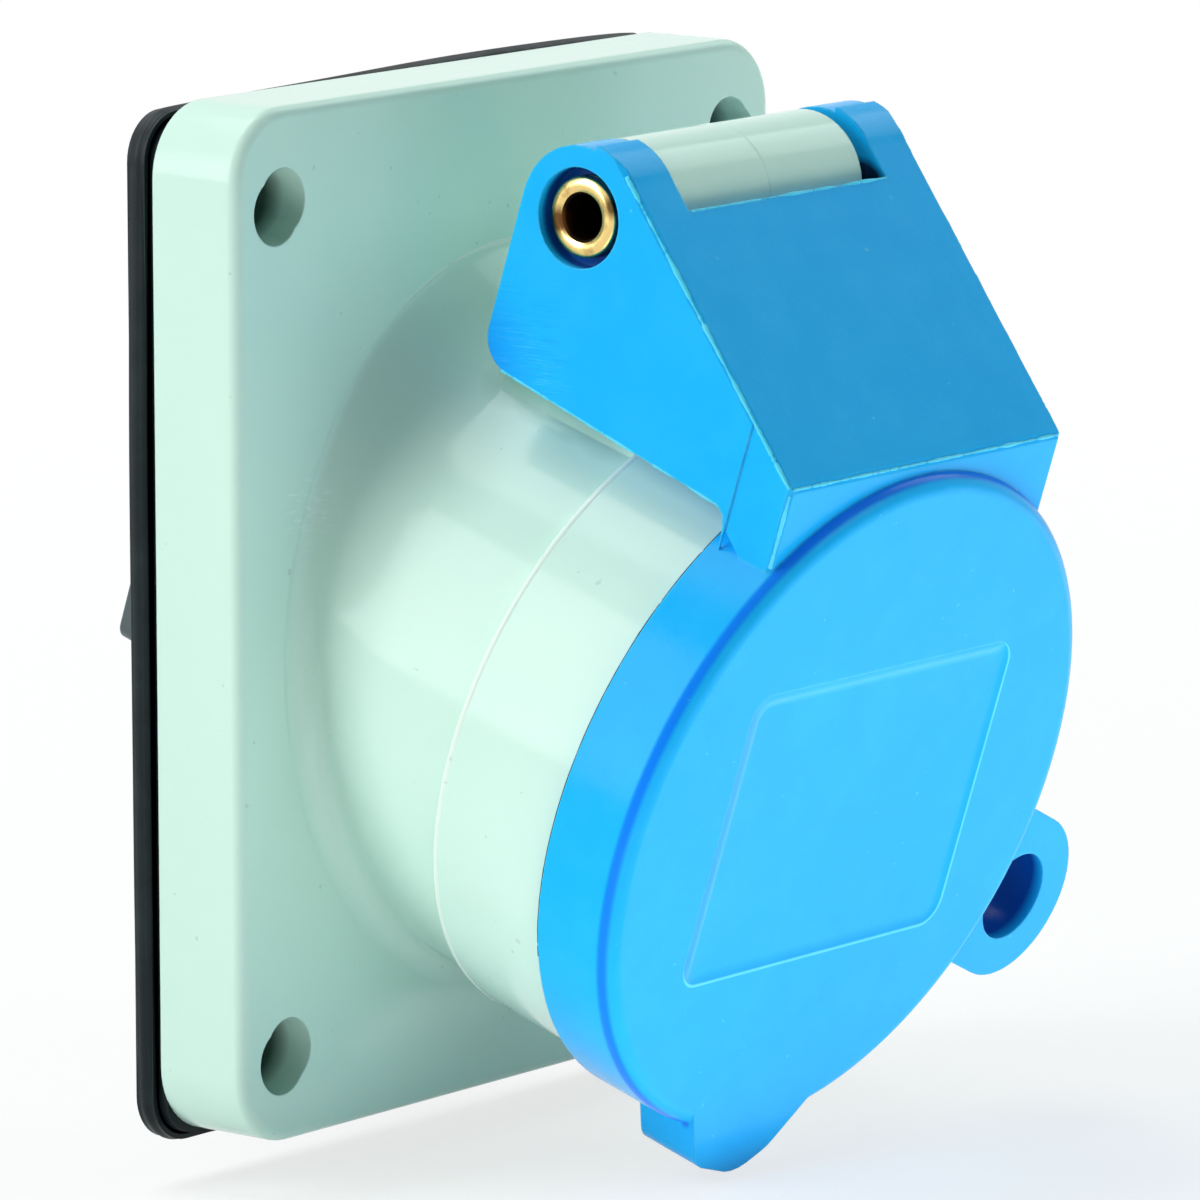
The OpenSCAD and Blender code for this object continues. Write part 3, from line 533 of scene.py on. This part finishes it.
def springPath():
    # leg straight up into the helix, then the helix round the pin as far as the hook
    x1 = coil["x2"] - coil["turns"] * coil["pitch"]
    share = np.linspace(0, 1, coil["turns"] * coil["perTurn"] + 1)
    a = np.pi + (hookTurn + np.pi - 2 * np.pi * coil["turns"]) * share
    helix = np.stack([x1 + (coil["x2"] - x1) * share, pin["s"] + coil["radius"] * np.cos(a),
                      pin["t"] + coil["radius"] * np.sin(a)], axis=-1)
    back = pin["s"] - coil["radius"]
    rise = np.linspace(-coil["leg"], -coil["legGap"], coil["legSteps"])
    leg = np.stack([np.full(rise.size, x1), np.full(rise.size, back), pin["t"] + rise], axis=-1)
    return np.concatenate([leg, helix])


def hookPath():
    # from just off the helix straight out, a quarter bend, then across into the cheek's hole
    far = math.hypot(coil["hookDrop"], coil["radius"])
    bend = np.linspace(0, np.pi / 2, coil["bendSteps"])
    turnR = far - coil["hookFrom"] - coil["hookGap"]
    end = np.linspace(turnR, coil["hook"], coil["hookSteps"] + 1)[1:]
    out = np.concatenate([[coil["hookFrom"]], far - turnR + turnR * np.sin(bend), [far] * end.size])
    across = np.concatenate([[0], turnR - turnR * np.cos(bend), end])
    s, t = pin["s"] + out * math.cos(hookTurn), pin["t"] + out * math.sin(hookTurn)
    return np.stack([coil["x2"] + across, s, t], axis=-1)


def tubePoints(path, radius, sides):
    # each path point gets a ring square to the path, its start set by the lean; two end rings of no width close it
    radius = np.broadcast_to(radius, len(path))[:, None, None]
    along = np.gradient(path, axis=0)
    along /= np.linalg.norm(along, axis=1, keepdims=True)
    side = np.cross(along, tubeLean)
    side /= np.linalg.norm(side, axis=1, keepdims=True)
    up = np.cross(along, side)
    turn = np.linspace(0, 2 * np.pi, sides, endpoint=False)[None, :, None]
    rings = path[:, None] + radius * (side[:, None] * np.cos(turn) + up[:, None] * np.sin(turn))
    ends = [np.repeat(path[i][None, None], sides, axis=1) for i in (0, -1)]
    return np.concatenate([ends[0], rings, ends[1]])


def mergePoles(piece):
    shape = bmesh.new()
    shape.from_mesh(piece.data)
    bmesh.ops.remove_doubles(shape, verts=shape.verts, dist=weld["poles"])
    bmesh.ops.recalc_face_normals(shape, faces=shape.faces)
    shape.to_mesh(piece.data)
    shape.free()


def wirePiece(name, path, body):
    rings = tubePoints(path, coil["wire"] / 2, coil["sides"])
    piece = gridPiece(name, fromBarrel(*np.moveaxis(rings, -1, 0)), closeV=True)
    mergePoles(piece)
    piece.data.materials.append(platedSteel)
    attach(piece, body)
    return piece


springCoil = wirePiece("springCoil", springPath(), "base")
springHook = wirePiece("springHook", hookPath(), "lid_body")
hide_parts("lid_spring")


# gasket's outer lip: a soft bead carried round the gasket's edge, bowed out a little along each side

lip = {"w": 70.0, "h": 85.0, "corner": 4.0, "drop": 0.8, "thick": 1.85, "inward": 1.4, "belly": 0.12,
       "bow": (0.85, 0.35, 0.3, 0.3), "skew": (0.5, 1.0, 1.0, 1.0), "bowPower": 0.8, "edge": 0.45, "wobble": 0.04,
       "ripples": 9, "proud": 0.05, "cornerSteps": 12, "runSteps": 40, "edgeSteps": 7, "bellySteps": 7}


def lipPath():
    # four quarter circles joined by straight runs, with the outward direction and the bow at each point
    quarter = np.linspace(0, np.pi / 2, lip["cornerSteps"])
    cx, cz = lip["w"] / 2 - lip["corner"], lip["h"] / 2 - lip["corner"]
    run = np.linspace(0, 1, lip["runSteps"] + 2)[1:-1]
    signs = ((1, 1), (-1, 1), (-1, -1), (1, -1))
    spots, outs, bows = [], [], []
    for k, (sx, sz) in enumerate(signs):
        a = quarter + k * np.pi / 2
        way = np.stack([np.cos(a), np.sin(a)], axis=-1)
        spots.append(np.array([sx * cx, sz * cz]) + lip["corner"] * way)
        outs.append(way)
        bows.append(np.zeros(len(a)))
        nextX, nextZ = signs[(k + 1) % 4]
        first = np.array([sx * cx, sz * cz]) + lip["corner"] * way[-1]
        second = np.array([nextX * cx, nextZ * cz]) + lip["corner"] * way[-1]
        spots.append(first + (second - first) * run[:, None])
        outs.append(np.repeat(way[-1][None], run.size, axis=0))
        bows.append(lip["bow"][k] * np.sin(np.pi * run ** lip["skew"][k]) ** lip["bowPower"])
    return np.concatenate(spots), np.concatenate(outs), np.concatenate(bows)


def lipPoints():
    # the profile is a flat bar with rounded outer corners and a slight belly, in (outward, depth)
    spots, outs, bows = lipPath()
    arc = np.linspace(0, np.pi / 2, lip["edgeSteps"])
    e, deep = lip["edge"], lip["thick"]
    belly = np.linspace(0, 1, lip["bellySteps"] + 2)[1:-1]
    outward = np.concatenate([[-lip["inward"]], -e + e * np.sin(arc), lip["belly"] * np.sin(np.pi * belly),
                              -e + e * np.cos(arc), [-lip["inward"]]])
    depth = np.concatenate([[0.0], -e + e * np.cos(arc), -e - (deep - 2 * e) * belly,
                            -deep + e - e * np.sin(arc), [-deep]])
    ripple = lip["wobble"] * np.sin(np.linspace(0, 2 * np.pi * lip["ripples"], len(spots), endpoint=False))
    push = outward[None, :] + (bows + ripple + lip["proud"])[:, None] * (outward > -lip["inward"])[None, :]
    x = spots[:, 0:1] + outs[:, 0:1] * push
    z = spots[:, 1:2] + outs[:, 1:2] * push - lip["drop"]
    y = np.repeat(depth[None], len(spots), axis=0)
    return np.stack([x, y, z], axis=-1)


gasketLip = gridPiece("gasketLip", lipPoints(), closeU=True)
gasketLip.data.materials.append(blackRubber)
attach(gasketLip, "base")


# parting line over the hinge knuckle

seam = {"x": -0.5, "radius": 5.8, "sink": 0.01, "width": 0.34, "height": 0.05, "from": -35.0, "to": 200.0, "steps": 90,
        "across": 9}


def seamPoints():
    # a low cosine ridge across, carried round the knuckle's cylinder
    a = np.radians(np.linspace(seam["from"], seam["to"], seam["steps"]))[:, None]
    across = np.linspace(-0.5, 0.5, seam["across"])[None, :]
    r = seam["radius"] - seam["sink"] + seam["height"] * np.cos(np.pi * across) + 0 * a
    x = seam["x"] + seam["width"] * across
    return fromBarrel(x + 0 * a, pin["s"] + r * np.cos(a), pin["t"] + r * np.sin(a))


knuckleSeam = gridPiece("knuckleSeam", seamPoints(), flip=True)
knuckleSeam.data.materials.append(greyPlastic)
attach(knuckleSeam, "base")


# flash: fine ragged ridges along the moulding's edges; their colour, paler than the faces they stand on, is a painted
# highlight

flash = {"step": 0.25, "sides": 8, "ragged": 0.3, "smooth": 7, "swell": 2.2, "least": 0.4, "most": 1.7, "nicks": 0.07,
         "nickTo": 0.45, "seed": 41}
slope = {"pitch": math.radians(37.2), "rise": 6.2, "halfW": 18.1, "top": 21.6, "shoulder": 44.7, "notch": 24.8,
         "notchHalf": 13.0}
# the ridges' paler colours are painted highlights
blueRidgeHighlightLook = dict(lidLook, colour=(0.11, 0.74, 0.98), colourTwo=(0.08, 0.68, 0.97), mottle=0.3,
                     mottleColour=(0.24, 0.84, 0.99), paintedDarks=[], rings=[], scuffs=[])
paleRidgeHighlightLook = dict(housingLook, colour=(0.80, 0.92, 0.84), colourTwo=(0.76, 0.90, 0.81), paintedDarks=[], scuffs=[])
blueRidgeHighlight = mouldedFinish("blueRidgeHighlight", blueRidgeHighlightLook)
paleRidgeHighlight = mouldedFinish("paleRidgeHighlight", paleRidgeHighlightLook)


def slopeT(s, under=0.0):
    # height of the block's sloping top at s, or of a line lying a little under it
    return pin["t"] + (slope["rise"] - under) / math.cos(slope["pitch"]) - (s - pin["s"]) * math.tan(slope["pitch"])


def walked(corners):
    # a polyline cut into even short steps
    corners = np.array(corners, float)
    gone = np.concatenate([[0.0], np.cumsum(np.linalg.norm(np.diff(corners, axis=0), axis=1))])
    at = np.linspace(0.0, gone[-1], int(gone[-1] / flash["step"]) + 2)
    return np.stack([np.interp(at, gone, corners[:, k]) for k in range(3)], axis=-1)


def flashLine(name, corners, width, finish, part, calm=1.0):
    # a tube along the edge whose radius swells by smoothed noise and all but ends at a few nicks
    path = walked(corners)
    dice = np.random.default_rng(flash["seed"] + len(path))
    wave = dice.normal(size=len(path) + flash["smooth"] - 1)
    soft = np.convolve(wave, np.ones(flash["smooth"]) / flash["smooth"], "valid") * flash["swell"]
    broken = np.where(dice.random(len(path)) < flash["nicks"] * calm, flash["nickTo"], 1.0)
    radius = width * np.clip(1 + flash["ragged"] * calm * soft, flash["least"], flash["most"]) * broken
    rings = tubePoints(path, radius, flash["sides"])
    piece = gridPiece(name, fromBarrel(*np.moveaxis(rings, -1, 0)), closeV=True)
    mergePoles(piece)
    piece.data.materials.append(finish)
    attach(piece, part["body"])


# each edge as its corners in barrel places and its width; it lies a little under the faces it joins
slopeEnds = (slope["top"], slope["shoulder"] - 0.3)
footEdge = (slope["shoulder"] - 0.16, slopeT(slope["shoulder"]) - 0.08)
notchTop = (slope["notch"] + 0.03, slopeT(slope["notch"]) - 0.06)
blueEdges = {
    "slopeLeft": {"width": 0.17, "corners": [(-slope["halfW"], s, slopeT(s, under=0.2)) for s in slopeEnds]},
    "slopeRight": {"width": 0.10, "corners": [(slope["halfW"], s, slopeT(s, under=0.24)) for s in slopeEnds]},
    "slopeFoot": {"width": 0.14, "corners": [(x, *footEdge) for x in (-17.8, 17.8)]},
    "blockCorner": {"width": 0.13, "corners": [(-17.95, slope["shoulder"] - 0.2, t) for t in (23.4, 29.8)]},
    "cheekFoot": {"width": 0.12, "corners": [(-18.27, 14.6, 27.74), (-18.27, 38.3, 26.24), (-18.27, 38.95, 25.75)]},
    "notchEdge": {"width": 0.12, "corners": [(x, *notchTop) for x in (-slope["notchHalf"], slope["notchHalf"])]},
}
# the block's edge lines, pale as a painted highlight
for name, line in blueEdges.items():
    flashLine(name, line["corners"], line["width"], blueRidgeHighlight, lidPart)


# label: a sheet lying nearly flush in its recess, with a fine bead along its right and lower edges whose paler colour
# is a painted highlight

rim = {"halfW": 17.3, "halfH": 13.0, "midT": -0.45, "corner": 2.2, "cornerSteps": 9, "face": 46.2, "sink": 0.07,
       "beadSink": 0.02, "bead": 0.035, "beadHalf": 0.13, "beadColumns": 3, "ramp": 1.25, "faint": 0.08,
       "strongSide": (0.6, -0.8), "strongMid": 0.6, "strongBy": 1.2, "tuck": 0.005}


def rimPoints():
    # the outline is four quarter circles; the profile is laid inward from it, in (inward, out of the face), the bead
    # fading away from its strong side, and the last column closes the sheet at its middle
    quarter = np.linspace(0, np.pi / 2, rim["cornerSteps"])
    middle = np.array([rim["halfW"] - rim["corner"], rim["halfH"] - rim["corner"]])
    turns = np.concatenate([quarter + k * np.pi / 2 for k in range(4)])
    ways = np.stack([np.cos(turns), np.sin(turns)], axis=-1)
    centres = np.repeat(np.array([(1, 1), (-1, 1), (-1, -1), (1, -1)]) * middle, quarter.size, axis=0)
    facing = np.clip(rim["strongMid"] + (ways @ np.array(rim["strongSide"])) * rim["strongBy"], 0, 1)
    strong = rim["faint"] + (1 - rim["faint"]) * facing
    b = rim["beadHalf"]
    inward = np.array([-b, -b / 2, b / 2, b, rim["ramp"]])
    rise = np.array([-rim["tuck"], 1.0, 1.0, 0.0, 0.0]) * rim["bead"]
    sunk = np.array([0, 0, 0, rim["beadSink"], rim["sink"]])
    across = np.where(inward < rim["ramp"], inward * strong[:, None], inward)
    flat = centres[:, None] + ways[:, None] * (rim["corner"] - across)[..., None]
    out = rim["face"] + rise[None] * strong[:, None] - sunk[None]
    flat = np.concatenate([flat, 0 * flat[:, :1]], axis=1)
    out = np.concatenate([out, out[:, -1:]], axis=1)
    return fromBarrel(flat[..., 0], out, flat[..., 1] + rim["midT"])


sheet = rimPoints()
labelRim = gridPiece("labelRim", sheet, closeU=True)
# the bead takes the pale painted highlight finish, the sheet the lid's own
labelRim.data.materials.append(blueRidgeHighlight)
labelRim.data.materials.append(bluePlastic)
rimFaces = np.zeros((sheet.shape[0], sheet.shape[1] - 1), np.int32)
rimFaces[:, rim["beadColumns"]:] = 1
labelRim.data.polygons.foreach_set("material_index", rimFaces.ravel())
mergePoles(labelRim)
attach(labelRim, "lid_body")


# collar's edge: a low lip that rises gently towards the neck, its pale colour a painted highlight

edge = {"s": (25.95, 25.97, 26.06, 26.42, 26.5), "r": (27.6, 28.0, 28.05, 28.03, 27.97), "around": 240}


def edgePoints():
    # the lip's profile, turned round the barrel's axis
    turn = np.linspace(0, 2 * np.pi, edge["around"], endpoint=False)[None, :]
    r = np.array(edge["r"])[:, None]
    return fromBarrel(r * np.cos(turn), np.array(edge["s"])[:, None] + 0 * turn, r * np.sin(turn))


collarEdge = gridPiece("collarEdge", edgePoints(), closeV=True, flip=True)
collarEdge.data.materials.append(paleRidgeHighlight)
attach(collarEdge, "base")


# fine line where the flared root meets the flange, pale as a painted highlight, and a black line behind the lid's
# skirt as painted shadow in the gap

footLine = {"from": 75, "to": 138, "steps": 90, "sink": 0.40, "sinkMore": 0.14, "sinkPower": 1.5, "width": 0.5,
            "calm": 0.05}
gapShadowLine = {"s": 38.46, "radius": 29.15, "from": 112, "to": 205, "steps": 181, "width": 0.09, "calm": 0.3,
            "body": "lid_body", "slot": "black_rubber"}


def footCorners():
    # the root's widest ring, sunk into the flange a little deeper towards the left
    a = np.radians(np.linspace(footLine["from"], footLine["to"], footLine["steps"]))
    wide = root["neckR"] + wider(root["rootR"], flareAt(a))
    sunk = footLine["sink"] + footLine["sinkMore"] * np.linspace(0, 1, a.size) ** footLine["sinkPower"]
    t = wide * np.sin(a)
    return np.stack([wide * np.cos(a), (root["flangeD"] - sunk - t * tiltSin) / tiltCos, t], axis=-1)


def gapShadowCorners():
    # an arc round the barrel's axis
    a = np.radians(np.linspace(gapShadowLine["from"], gapShadowLine["to"], gapShadowLine["steps"]))
    r = gapShadowLine["radius"]
    return np.stack([r * np.cos(a), np.full(a.size, gapShadowLine["s"]), r * np.sin(a)], axis=-1)


# the root's edge line is pale as a painted highlight
flashLine("rootEdge", footCorners(), footLine["width"], paleRidgeHighlight, housingPart, footLine["calm"])
# a black line of painted shadow in the gap behind the lid's skirt
flashLine("gapShadowEdge", gapShadowCorners(), gapShadowLine["width"], blackRubber, gapShadowLine, gapShadowLine["calm"])
print("socket: pieces made")


# floor, light and camera

studio = {"floorZ": -47.0, "floorR": 900.0, "innerShare": 0.002, "rings": 24, "ringPower": 1.5, "around": 96,
          "fadeFrom": 0.10, "fadeTo": 0.42, "glow": 0.72, "floorTone": 0.86, "ambient": 0.12,
          "ambientColour": (0.75, 1.0, 1.0), "lampTarget": (0.0, -0.025, -0.005)}


def lookedAt(tree):
    # one for rays from the camera, by mirror or through glass, none for the light that falls on things
    path = tree.nodes.new("ShaderNodeLightPath")
    looked = sums(tree, "MAXIMUM", path.outputs["Is Camera Ray"], path.outputs["Is Glossy Ray"])
    return sums(tree, "MAXIMUM", looked, path.outputs["Is Transmission Ray"])


def makeFloor():
    # a disc of rings whose surface fades out into the white background
    ring = np.linspace(studio["innerShare"], 1, studio["rings"])[:, None] ** studio["ringPower"] * studio["floorR"]
    turn = np.linspace(0, 2 * np.pi, studio["around"], endpoint=False)[None, :]
    level = np.full((studio["rings"], studio["around"]), studio["floorZ"])
    disc = np.stack([ring * np.cos(turn), ring * np.sin(turn), level], axis=-1)
    floor = gridPiece("floor", disc, closeV=True)
    finish = bpy.data.materials.new("floorPaper")
    finish.use_nodes = True
    tree = finish.node_tree
    tree.nodes.clear()
    out = tree.nodes.new("ShaderNodeOutputMaterial")
    paper = tree.nodes.new("ShaderNodeBsdfDiffuse")
    tone = studio["floorTone"]
    paper.inputs["Color"].default_value = (tone, tone, tone, 1)
    thin = tree.nodes.new("ShaderNodeBsdfDiffuse")
    thin.inputs["Color"].default_value = (1 - studio["glow"],) * 3 + (1,)
    glow = tree.nodes.new("ShaderNodeEmission")
    glow.inputs["Strength"].default_value = studio["glow"]
    seen = tree.nodes.new("ShaderNodeAddShader")
    tree.links.new(thin.outputs[0], seen.inputs[0])
    tree.links.new(glow.outputs[0], seen.inputs[1])
    clear = tree.nodes.new("ShaderNodeBsdfTransparent")
    fade = tree.nodes.new("ShaderNodeMixShader")
    place = tree.nodes.new("ShaderNodeTexCoord").outputs["Object"]
    far = tree.nodes.new("ShaderNodeVectorMath")
    far.operation = "LENGTH"
    tree.links.new(place, far.inputs[0])
    tree.links.new(spread(tree, far.outputs["Value"], studio["fadeFrom"], studio["fadeTo"], 0, 1), fade.inputs[0])
    tree.links.new(seen.outputs[0], fade.inputs[1])
    tree.links.new(clear.outputs[0], fade.inputs[2])
    pick = tree.nodes.new("ShaderNodeMixShader")
    tree.links.new(lookedAt(tree), pick.inputs[0])
    tree.links.new(paper.outputs[0], pick.inputs[1])
    tree.links.new(fade.outputs[0], pick.inputs[2])
    tree.links.new(pick.outputs[0], out.inputs[0])
    floor.data.materials.append(finish)


def makeSky():
    # white to the eye, a weak cool light on things
    world = bpy.data.worlds.new("studio")
    world.use_nodes = True
    bpy.context.scene.world = world
    tree = world.node_tree
    tree.nodes.clear()
    out = tree.nodes.new("ShaderNodeOutputWorld")
    soft = tree.nodes.new("ShaderNodeBackground")
    soft.inputs["Strength"].default_value = studio["ambient"]
    soft.inputs["Color"].default_value = (*studio["ambientColour"], 1)
    white = tree.nodes.new("ShaderNodeBackground")
    white.inputs["Strength"].default_value = 1.0
    white.inputs["Color"].default_value = (1, 1, 1, 1)
    pick = tree.nodes.new("ShaderNodeMixShader")
    tree.links.new(lookedAt(tree), pick.inputs[0])
    tree.links.new(soft.outputs[0], pick.inputs[1])
    tree.links.new(white.outputs[0], pick.inputs[2])
    tree.links.new(pick.outputs[0], out.inputs[0])


# key from the left and behind, a lamp over the top, weak cool ones from the front and the right, and the lit table
lamps = {
    "key": {"at": (-1.05, 0.60, 0.56), "size": (0.60, 1.10), "power": 12.6},
    "topBack": {"at": (-0.10, 0.52, 1.26), "size": (1.0, 0.70), "power": 10.0},
    "front": {"at": (0.42, -1.00, 0.70), "size": (0.6, 0.5), "power": 2.3, "colour": (0.80, 1.0, 1.0)},
    "right": {"at": (0.95, -0.12, 0.82), "size": (0.6, 0.6), "power": 2.8, "colour": (0.85, 1.0, 1.0)},
    "table": {"at": (0.11, -0.225, -0.0465), "size": (0.44, 0.37), "power": 0.55, "up": True},
}


def makeLamps():
    target = Vector(studio["lampTarget"])
    for name, lamp in lamps.items():
        light = bpy.data.lights.new(name, "AREA")
        light.shape = "RECTANGLE"
        light.size, light.size_y = lamp["size"]
        light.energy = lamp["power"]
        light.color = lamp.get("colour", (1, 1, 1))
        holder = bpy.data.objects.new(name, light)
        holder.location = lamp["at"]
        way = Vector((0, 0, 1)) if "up" in lamp else target - holder.location
        holder.rotation_euler = way.to_track_quat("-Z", "Y").to_euler()
        bpy.context.scene.collection.objects.link(holder)


view = {"at": (-623.193, -517.741, 139.848), "right": (0.62328, -0.78200, -0.00177), "up": (0.13684, 0.10683, 0.98482),
        "lens": 293.82, "sensor": 36.0, "near": 0.05, "far": 20.0}


def makeCamera():
    data = bpy.data.cameras.new("photoCamera")
    data.lens = view["lens"]
    data.sensor_width = view["sensor"]
    data.clip_start, data.clip_end = view["near"], view["far"]
    right, up = Vector(view["right"]).normalized(), Vector(view["up"]).normalized()
    back = right.cross(up).normalized()
    turn = Matrix((right, up, back)).transposed()
    camera = bpy.data.objects.new("photoCamera", data)
    camera.matrix_world = Matrix.Translation(Vector(view["at"]) * mm) @ turn.to_4x4()
    bpy.context.scene.collection.objects.link(camera)
    bpy.context.scene.camera = camera


makeFloor()
makeSky()
makeLamps()
makeCamera()
bpy.context.scene.view_settings.view_transform = "Standard"
print("socket: studio set")
